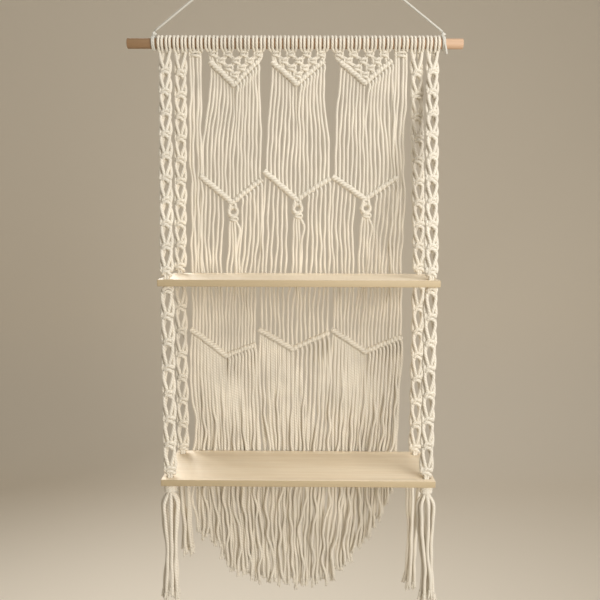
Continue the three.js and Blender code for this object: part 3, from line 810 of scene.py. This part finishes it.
class MACRAME_OT_peg(bpy.types.Operator):
    """Turn the wall peg from a disc: its stem and end are drawn out of the plate's face"""

    bl_idname = "macrame.peg"
    bl_label = "Wall peg"

    def execute(self, context):
        piece = disc("peg", 40, PEG["plate_radius"], PEG["plate"], (0, -PEG["plate"] / 2, 0), (math.pi / 2, 0, 0))
        pick(piece, lambda normal: normal.y < -0.9)
        bpy.ops.mesh.inset(thickness=(PEG["plate_radius"] - PEG["stem_radius"]) * MM)
        self.draw_out(PEG["end_from"] - PEG["plate"])
        self.draw_out(0.0)
        widen = PEG["end_radius"] / PEG["stem_radius"]
        bpy.ops.transform.resize(value=(widen, 1, widen))
        self.draw_out(PEG["length"] - PEG["end_from"])
        to_mode("OBJECT")
        soften(piece, PEG["edge"] * MM, 40)
        settled(piece, "wall_peg", "satin_steel")
        return {"FINISHED"}

    def draw_out(self, by):
        bpy.ops.mesh.extrude_region_move(TRANSFORM_OT_translate={"value": (0, -by * MM, 0)})


def larks_head(cords, x, tail_y, tail_z, feet=(None, None)):
    """A cord folded over the rod: two legs down the front, the fold across the back"""
    reach = ROD["radius"] + cord_radius() + 0.1
    for side, foot in zip((-1, 1), feet):
        leg_x = x + side * HEADS["leg"]
        foot_x = leg_x if foot is None else foot
        round_rod = round_the_rod(leg_x, reach, np.radians(np.linspace(38, 292, 13)), -1)
        tail = np.array(
            [(foot_x, tail_y, ROD["z"] + tail_z), (mix(leg_x, foot_x, 0.45), tail_y - 4.2, ROD["z"] - 12.2)]
        )
        last = round_rod[-1]
        turn = np.array([(x + side * 1.2, last[1] - 0.6, last[2] - 1.4)])
        cords.lay(eased(np.concatenate((tail, round_rod, turn)), 3.2), cord_radius())
    fold_y = ROD["y"] + reach * 0.94
    fold_z = ROD["z"] - 2.6
    bends = ((-4.4, 2), (-2.5, 0), (2.5, 0), (4.4, 2))
    fold = [(x + wide, fold_y - in_front, fold_z - in_front / 2) for wide, in_front in bends]
    cords.lay(eased(fold, 2.2), cord_radius())


def net_strand_places(bay, index):
    """Where a strand of a bay passes through its knots, from the top down"""
    places = []
    for row in range(NET["rows"]):
        if not 2 * row <= index < BAY_STRANDS - 2 * row:
            break
        k, part = divmod(index - 2 * row, 4)
        x, y, z = net_knot(bay, row, k)
        offset = STRAND_OFFSETS[part]
        places += [(x + offset, y, z + 3.6), (x + offset, y, z - 3.6)]
    return places


class MACRAME_OT_heads_and_nets(bpy.types.Operator):
    """Mount the strands on the rod and knot the three triangles under it"""

    bl_idname = "macrame.heads_and_nets"
    bl_label = "Lark's heads and nets"

    def execute(self, context):
        heads = Cordage()
        first = HEADS["chain_heads"]
        for h in range(first, HEADS["all"] - first):
            slot = h - first - HEADS["side_heads"]
            feet = (None, None)
            if 0 <= slot < 3 * HEADS["bay_heads"]:
                bay, place = divmod(slot, HEADS["bay_heads"])
                feet = [net_strand_places(bay, 2 * place + side)[0][0] for side in (0, 1)]
            larks_head(heads, head_x(h + 0.5), ROW_Y[0] - NET["proud"], -13.4, feet)
        heads.made("mounting_loops", "macrame_panel")
        nets = Cordage()
        for bay in range(3):
            for index in range(BAY_STRANDS):
                x, y, z = bar_place(0, bay, index)
                places = net_strand_places(bay, index) + [(x, y, z)]
                nets.lay(eased(places, 3.5), cord_radius())
            for row in range(NET["rows"]):
                for k in range(NET["rows"] - row):
                    square_knot(nets, net_knot(bay, row, k), loop_side=-1 if (row + k) % 2 else 1)
        nets.made("knotted_triangles", "macrame_panel")
        return {"FINISHED"}


def bar_frame(start, end):
    along, length = course(start, end)
    depth = np.array((0.0, 1.0, 0.0))
    return along, depth, np.cross(along, depth), length


class MACRAME_OT_bars(bpy.types.Operator):
    """Lay the diagonal bars: the left halves smooth, the right halves with a hitch for each strand"""

    bl_idname = "macrame.bars"
    bl_label = "Diagonal bars"

    def execute(self, context):
        smooth, hitches = Cordage(12), Cordage(12)
        for row, bay in BARS:
            left, middle, right = (bar_end(row, bay, key) for key in ("left", "mid", "right"))
            self.half(smooth, left, middle, bay + row, "smooth", BAR["ridge"], BAR["ridge_pitch"])
            count = sum(on_right_half(row, bay, k) for k in range(slots(row, bay)))
            self.half(hitches, middle, right, bay + row, "hitched", BAR["hitch"], math.dist(middle, right) / count)
        smooth.made("smooth_bars", "macrame_panel", "cotton_bundle")
        hitches.made("hitched_bars", "macrame_panel")
        return {"FINISHED"}

    def half(self, cords, start, end, seed, kind, ridge, pitch):
        along, depth, up, length = bar_frame(start, end)
        share = np.linspace(-0.03, 1.02, max(20, int(length / 0.95)))
        line = np.array(start) + along * (share * length)[:, None]
        bowed = BAR[f"{kind}_lift"] + 0.7 * np.sin(np.pi * np.clip(share, 0, 1))
        bowed = bowed + 0.35 * np.sin(share * 17 + seed * 1.7)
        line += up * bowed[:, None] - depth * 0.9
        ridges = ridge * np.abs(np.sin(np.pi * share * length / pitch + seed))
        ends = np.clip(np.minimum(share + 0.06, 1.05 - share) * length / 3.0, 0.35, 1) ** 0.5
        cords.lay(line, (BAR[kind] + ridges) * ends)


def off_the_bar(row, bay, place):
    """How a strand leaves a bar: over the front of the right halves, out from behind the left ones"""
    x, y, z = bar_place(row, bay, place)
    apart = BAR["apart"] * (x - BARS[row, bay]["mid_x"])
    if not on_right_half(row, bay, place):
        return [(x, y + 2.2, z), (x + apart * 0.6, y + 2.6, z - 6.0), (x + apart, y + 2.8, z - 22.0)]
    along, depth, up, _ = bar_frame(bar_end(row, bay, "mid"), bar_end(row, bay, "right"))
    centre = np.array((x, y, z)) - along * 1.2
    over = BAR["over"]
    return [
        tuple(centre - up * 0.6 + depth * 0.5),
        tuple(centre - up * 3.2 - depth * (over - 2.6)),
        tuple(centre + along * 1.6 - up * 5.8 - depth * (over - 1.4)),
        (x + 1.6 + apart * 0.5, y - 2.8, z - 13.0),
        (x + 0.4 + apart, y - 0.9, z - 26.0),
    ]


def into_the_bar(row, bay, place):
    """How a strand comes down behind a bar"""
    x, y, z = bar_place(row, bay, place)
    return [(x, y + 2.4, z + 36.0), (x, y + 2.4, z + 10.0), (x, y + 1.0, z)]


def fullness(row, bay, place):
    """The strands from behind a left half hang a little apart from each other"""
    return cord_radius() * (1.0 if on_right_half(row, bay, place) else 0.92)


class MACRAME_OT_strands(bpy.types.Operator):
    """Hang the strands from bar to bar and down to the fringe, with the strands at both sides and the eyes"""

    bl_idname = "macrame.strands"
    bl_label = "Hanging strands"

    def execute(self, context):
        sway = sizes().sway / MM
        upper, middle, fringe, eyes = Cordage(), Cordage(), Cordage(), Cordage()
        for bay in range(3):
            for k in range(BAY_STRANDS):
                index = SIDE_STRANDS + bay * BAY_STRANDS + k
                line = eased(off_the_bar(0, bay, k) + into_the_bar(1, bay, k), STRAND_STEP)
                hang(upper, wander(line, index, sway, held), index, fullness(0, bay, k))
                low = k + (SIDE_STRANDS if bay == 0 else 0)
                under_eye = EYE["first"] <= k <= EYE["last"]
                start = self.below_eye(bay, k) if under_eye else off_the_bar(1, bay, k)
                line = eased(start + into_the_bar(2, bay, low), STRAND_STEP)
                hang(middle, wander(line, index + 7, sway * 1.3, held), index, fullness(1, bay, k))
                self.free_end(fringe, bay, low, index, sway)
            self.eye(eyes, bay)
        self.side(middle, fringe, SIDE["left"], 0, 0, 0, sway)
        self.side(middle, fringe, SIDE["right"], 2, BAY_STRANDS, STRANDS - SIDE_STRANDS, sway)
        names = ("upper_strands", "middle_strands", "fringe_strands", "eyes")
        for cords, name in zip((upper, middle, fringe, eyes), names):
            cords.made(name, "macrame_panel")
        return {"FINISHED"}

    def below_eye(self, bay, k):
        at_knot, lower, straight = UNDER_EYE[k - EYE["first"]]
        x, y, point_z = bar_end(1, bay, "mid")
        z = point_z - EYE["knot_drop"]
        return [
            (x + at_knot * 0.6, y, z + 3),
            (x + at_knot, y - 1.8, z - 5),
            (x + lower, y - 1.2, z - 15),
            (x + straight, y, z - 44),
        ]

    def free_end(self, cords, bay, place, index, sway):
        self.end(cords, off_the_bar(2, bay, place), index, "front" if index % 3 == 0 else "back", sway)
        x, y, z = np.array(bar_place(2, bay, place)) + (1.6, 2.4, 0.0)
        self.end(cords, [(x, y, z + 2.0), (x, y, z - 22.0)], index + 0.5, "under", sway)

    def end(self, cords, start, index, layer, sway):
        layer = FRINGE_LAYERS[layer]
        tip = tip_place(index)
        tip = (tip[0], tip[1] + layer["y"], tip[2] + layer["short"])
        half = (mix(start[0][0], tip[0], 0.45), FRINGE_Y + layer["y"], mix(start[0][2], tip[2], 0.5))
        radius = cord_radius() * layer["full"]
        line = wander(eased(start + [half, tip], STRAND_STEP), index, sway * layer["sway"], loose)
        hang(cords, line, index, radius)
        frayed_end(cords, line, index, radius * 1.1, 7.5)

    def side(self, middle, fringe, x, bay, first_place, first_index, sway):
        knot_z = ROD["z"] + SIDE["z"]
        square_knot(middle, (x, ROW_Y[0], knot_z), half=SIDE["knot"])
        for k in range(SIDE_STRANDS):
            top_x = x + SIDE["places"][k]
            foot = bar_place(2, bay, first_place + k)
            half = (mix(top_x, foot[0], SIDE["half_way"]), ROW_Y[1], ROD["z"] + SIDE["half_z"])
            places = [(top_x, ROW_Y[0], knot_z + 4), (top_x, ROW_Y[0], knot_z - 14), half, foot]
            line = eased(places, STRAND_STEP)
            hang(middle, wander(line, first_index + k + 3, sway * 1.5, held), first_index + k, cord_radius())
            self.free_end(fringe, bay, first_place + k, first_index + k, sway)

    def eye(self, cords, bay):
        point = np.array(bar_end(1, bay, "mid"))
        centre = point - (0, 0, EYE["drop"])
        for side, shift, drop in ((1, -1.8, 0.0), (-1, 0.8, -1.4)):
            middle = centre + (side * 0.4, shift, drop)
            turn = ring_line(middle, (1, 0, 0), (0, 0, 1), EYE["wide"], EYE["tall"], 80, 450, 22, (0, 1, 0), 1.0)
            cords.lay(turn, EYE["cord"])
            link = [point + (side * wide, y, z) for wide, y, z in EYE_LINK]
            cords.lay(eased(link, 3.0), EYE["cord"] * 0.9)
        square_knot(cords, point + (1.2, -1.0, -EYE["knot_drop"]), half=EYE["knot"], loop_side=1, tall=0.8)


def chain_frame(top, bottom):
    along, length = course(bottom, top)
    across = np.cross((0.0, 1.0, 0.0), along)
    across /= np.linalg.norm(across)
    return across, np.cross(along, across), along, length


def knot_chain(cords, top, bottom, knots, starts_with_knot):
    """Square knots that swap their cores and their workers, with a diamond opening between each two"""
    across, depth, along, length = chain_frame(top, bottom)
    first = CHAIN["tall"] / 2 if starts_with_knot else (length - CHAIN["tall"] / 2) / knots
    pitch = (length - CHAIN["tall"] / 2 - first) / (knots - 1)
    core, outer, radius = CHAIN["core"], CHAIN["outer"], CHAIN["cord"]

    def run(side, places):
        line = [np.array(top) + across * side * x + depth * y + along * z for x, y, z in places]
        cords.lay(eased(line, CHAIN_STEP), radius)

    for k in range(knots):
        z = -(first + k * pitch)
        lean = 0.12 * math.sin(k * 2.9 + top[0])
        square_knot(
            cords,
            np.array(top) + along * z,
            (across * math.cos(lean) + along * math.sin(lean), depth, along * math.cos(lean) - across * math.sin(lean)),
            half=CHAIN["half"] + 0.4 * math.sin(k * 2.3 + top[0]),
            loop_side=-1 if k % 2 else 1,
            tall=1.1,
            radius=radius + 0.2,
            droop=CHAIN["droop"],
        )
        for side in (-1, 1):
            if k == 0 and starts_with_knot:
                run(side, [(core, 0, 1.5), (core, 0, z), (core, 0, z - 3)])
                continue
            above = -1.0 if k == 0 else z + pitch
            uneven = 0.9 * math.sin(k * 1.9 + side + top[0])
            half_way = mix(z, above, 0.5)
            # The cords that become the cores come from the outside and lie in front
            inwards = [
                (9.6 if k == 0 else 6.6, -1.8, above - (-5 if k == 0 else 5)),
                (7.4 + 0.5 * uneven, -2.6, above - 11),
                (5.2 + 0.4 * uneven, -3.8, mix(half_way, z + 9.0, 0.35)),
                (core + 0.3, -3.6, z + 7.0),
                (core, 0, z - 2),
            ]
            # The others swing outwards behind them
            outwards = [
                (4.0 if k == 0 else core, 1.2, above - (-5 if k == 0 else 3)),
                (4.4, 2.6, above - 9),
                (7.6 - uneven, 2.4, half_way),
                (outer + 0.6, 0.4, z + 5),
                (7.4, -0.8, z - 3),
            ]
            run(side, inwards)
            run(side, outwards)


def neck_cords(cords, x, y, from_z, to_z):
    """The four cords drawn together where they pass a board"""
    for side_x in (-1, 1):
        for side_y in (-1, 1):
            heights = ((3.4, 1.0, from_z), (2.1, 2.1, from_z - 8), (2.1, 2.1, to_z))
            line = [(x + side_x * wide, y + side_y * deep, z) for wide, deep, z in heights]
            cords.lay(eased(line, 4.0), CHAIN["cord"] * 0.95)


class MACRAME_OT_chains(bpy.types.Operator):
    """Knot the four chains from the rod through the upper board to the lower one"""

    bl_idname = "macrame.chains"
    bl_label = "Chains"

    def execute(self, context):
        under = UPPER_TOP - BOARD["thick"] - CHAIN["gap"]
        for corner, head in CHAINS.items():
            x, y = hole_place(corner)
            on_rod = (head_x(head + 1), ROD["y"], ROD["z"] - CHAIN["valley"])
            for part, top, board_top in (("upper", on_rod, UPPER_TOP), ("lower", (x, y, under), LOWER_TOP)):
                cords = Cordage()
                if part == "upper":
                    for h in (0, 1):
                        larks_head(cords, head_x(head + h + 0.5), ROD["y"] - 0.6, -15.5)
                bottom = (x, y, board_top + CHAIN["neck"])
                knot_chain(cords, top, bottom, CHAIN[f"{part}_knots"], part == "lower")
                neck_cords(cords, x, y, board_top + CHAIN["neck"] + 4, board_top - BOARD["thick"])
                cords.made(f"{corner}_{part}_chain", f"chain_{corner}_{part}")
        return {"FINISHED"}


class MACRAME_OT_tassels(bpy.types.Operator):
    """Wrap the gathering knots under the lower board and let the loose ends hang"""

    bl_idname = "macrame.tassels"
    bl_label = "Tassels"

    def execute(self, context):
        top = LOWER_TOP - BOARD["thick"] - CHAIN["gap"]
        angles = turned(TASSEL["wraps"])
        radius = TASSEL["head_radius"]
        drop = TASSEL["cord"] + (TASSEL["head_tall"] - 2 * TASSEL["cord"]) * angles / angles[-1]
        for number, (corner, one) in enumerate(TASSELS.items()):
            x, y = hole_place(corner)
            cords = Cordage(10)
            wound = np.stack((x + radius * np.cos(angles), y - radius * np.sin(angles), top - drop), axis=1)
            cords.lay(wound, TASSEL["cord"])
            for k in range(one["ends"]):
                self.loose_end(cords, one, x, y, top, k, number)
            cords.made(f"{corner}_tassel", f"tassel_{corner}", slot="tassel_cotton")
        return {"FINISHED"}

    def loose_end(self, cords, one, x, y, top, k, number):
        angle = 2 * math.pi * (k + 0.5) / one["ends"]
        out_x, out_y = math.cos(angle), math.sin(angle)
        low = top - one["reach"] - 7 * math.sin(k * 2.2)
        head = top - TASSEL["head_tall"]
        ring, spread, lean = TASSEL["ring"], one["spread"] + TASSEL["flare"], one["lean"]

        def out(wide, deep, z, leaning=0.0):
            return x + out_x * wide + leaning, y + out_y * deep, z

        places = [
            out(2.6, 2.6, top - 1.5),
            out(ring, ring, head + 0.5),
            out(spread + 0.5, spread - 1.0, head - 11),
            out(spread + 1.2, spread, mix(top, low, 0.3), lean * 0.2),
            out(spread * 0.72, spread * 0.8, mix(top, low, 0.6), lean / 2),
            out(spread + 1.5 * math.sin(k * 3.1), spread, low + 10, lean),
        ]
        line = wander(eased(places, 6.0), number * 9 + k, sizes().sway / MM, loose)
        hang(cords, line, number * 9 + k, TASSEL["end_radius"])
        frayed_end(cords, line, number * 5 + k, TASSEL["end_radius"] * 1.35, TASSEL["brush"])


class MACRAME_OT_stage(bpy.types.Operator):
    """Lay a plain pale floor and set soft studio light"""

    bl_idname = "macrame.stage"
    bl_label = "Floor and light"

    def execute(self, context):
        scene = context.scene
        clear_selection()
        bpy.ops.mesh.primitive_plane_add(size=1, location=(0, STAGE["middle"], STAGE["floor"]))
        floor = context.object
        floor.name = "floor"
        floor.scale = (STAGE["width"], STAGE["depth"], 1)
        placed(floor)
        back = STAGE["middle"] + STAGE["depth"] / 2
        pick(floor, lambda normal: False)
        to_mode("OBJECT")
        for edge in floor.data.edges:
            edge.select = all(floor.data.vertices[v].co.y > back - 0.1 for v in edge.vertices)
        to_mode("EDIT")
        centre = (0, back, STAGE["floor"] + STAGE["bend"])
        bpy.ops.mesh.spin(steps=16, angle=-math.pi / 2, center=centre, axis=(1, 0, 0))
        bpy.ops.mesh.extrude_region_move(TRANSFORM_OT_translate={"value": (0, 0, STAGE["wall"])})
        bpy.ops.mesh.select_all(action="SELECT")
        bpy.ops.mesh.normals_make_consistent(inside=False)
        to_mode("OBJECT")
        bpy.ops.object.shade_smooth()
        pale = Finish("pale_floor", 0.95, 0.1)
        pale.feed(pale.shader["Base Color"], FLOOR_TONE)
        floor.data.materials.append(pale.material)
        for name, place, target, size, power, tone in LAMPS:
            data = bpy.data.lights.new(name, "AREA")
            data.size, data.energy, data.color = size, power, tone
            lamp = bpy.data.objects.new(name, data)
            lamp.location = place
            lamp.visible_camera = False
            lamp.rotation_euler = (Vector(target) - Vector(place)).to_track_quat("-Z", "Y").to_euler()
            scene.collection.objects.link(lamp)
        world = bpy.data.worlds.new("studio")
        world.use_nodes = True
        background = world.node_tree.nodes["Background"].inputs
        background["Color"].default_value = (*ALL_ROUND["colour"], 1)
        background["Strength"].default_value = ALL_ROUND["strength"]
        scene.world = world
        scene.view_settings.view_transform = "Standard"
        return {"FINISHED"}


class MACRAME_PT_panel(bpy.types.Panel):
    """The pieces of the shelf, in the order in which they are made"""

    bl_idname = "MACRAME_PT_panel"
    bl_label = "Macrame wall shelf"
    bl_space_type = "VIEW_3D"
    bl_region_type = "UI"
    bl_category = "Macrame"

    def draw(self, context):
        column = self.layout.column()
        for group in (context.scene.macrame_sizes, context.scene.macrame_colours):
            for key in group.__annotations__:
                column.prop(group, key)
        for step in STEPS:
            column.operator(step.bl_idname)


STEPS = (
    MACRAME_OT_camera,
    MACRAME_OT_hanging_cord,
    MACRAME_OT_ties,
    MACRAME_OT_rod,
    MACRAME_OT_boards,
    MACRAME_OT_peg,
    MACRAME_OT_heads_and_nets,
    MACRAME_OT_bars,
    MACRAME_OT_strands,
    MACRAME_OT_chains,
    MACRAME_OT_tassels,
    MACRAME_OT_stage,
)
CLASSES = (MacrameSizes, MacrameColours, *STEPS, MACRAME_PT_panel)


def register():
    for one in CLASSES:
        bpy.utils.register_class(one)
    bpy.types.Scene.macrame_sizes = PointerProperty(type=MacrameSizes)
    bpy.types.Scene.macrame_colours = PointerProperty(type=MacrameColours)


def unregister():
    del bpy.types.Scene.macrame_colours
    del bpy.types.Scene.macrame_sizes
    for one in reversed(CLASSES):
        bpy.utils.unregister_class(one)


def main():
    register()
    for step in STEPS:
        group, name = step.bl_idname.split(".")
        getattr(getattr(bpy.ops, group), name)()


if __name__ == "__main__":
    main()
